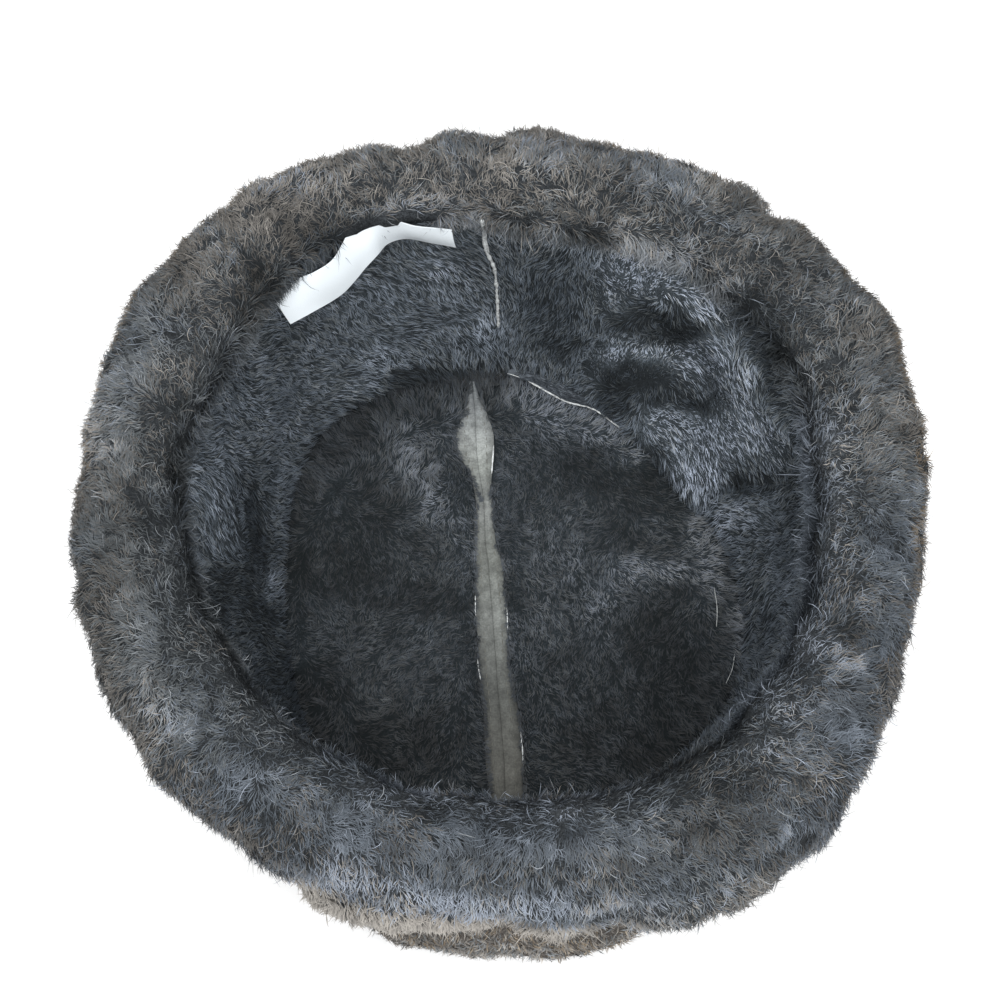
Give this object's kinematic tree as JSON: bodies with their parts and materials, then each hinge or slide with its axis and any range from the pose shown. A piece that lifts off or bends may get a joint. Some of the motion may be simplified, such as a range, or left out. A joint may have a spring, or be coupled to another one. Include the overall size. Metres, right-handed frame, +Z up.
{
  "type": "cossack hat",
  "caption": "Round fur hat with a deep crown and a thick turned-up fur cuff, lying on its crown with the mouth up.",
  "frame": {"origin": "on the flat of the outer crown that the hat lies on, under the middle of the mouth", "axes": "+Z up out of the mouth, +Y towards the back of the hat, where the label and the wall's seam are, +X to the hat's right-hand side as worn"},
  "size_m": [0.2695, 0.2676, 0.1299],
  "materials": {
    "outer_fur": "sheared sheepskin pile, brown grey",
    "cuff_fur": "long tousled sheepskin pile, charcoal grey",
    "lining_fur": "short brushed sheepskin pile with a blue grey sheen",
    "crown_lining_fur": "short sheepskin pile, near black",
    "leather": "undyed skin side, dull grey beige",
    "raw_edge": "raw white cut edge",
    "label_cloth": "smooth woven satin label"
  },
  "bodies": {
    "root": {"outer_crown": "outer_fur", "outer_band": "outer_fur", "cuff": "cuff_fur", "lining_band": "lining_fur", "lining_crown_left": "crown_lining_fur", "lining_crown_right": "crown_lining_fur", "crown_seam_left": "leather", "crown_seam_right": "leather", "crown_edge_strip": "leather", "back_seam_edge": "raw_edge", "label": "label_cloth"}
  },
  "joints": []
}
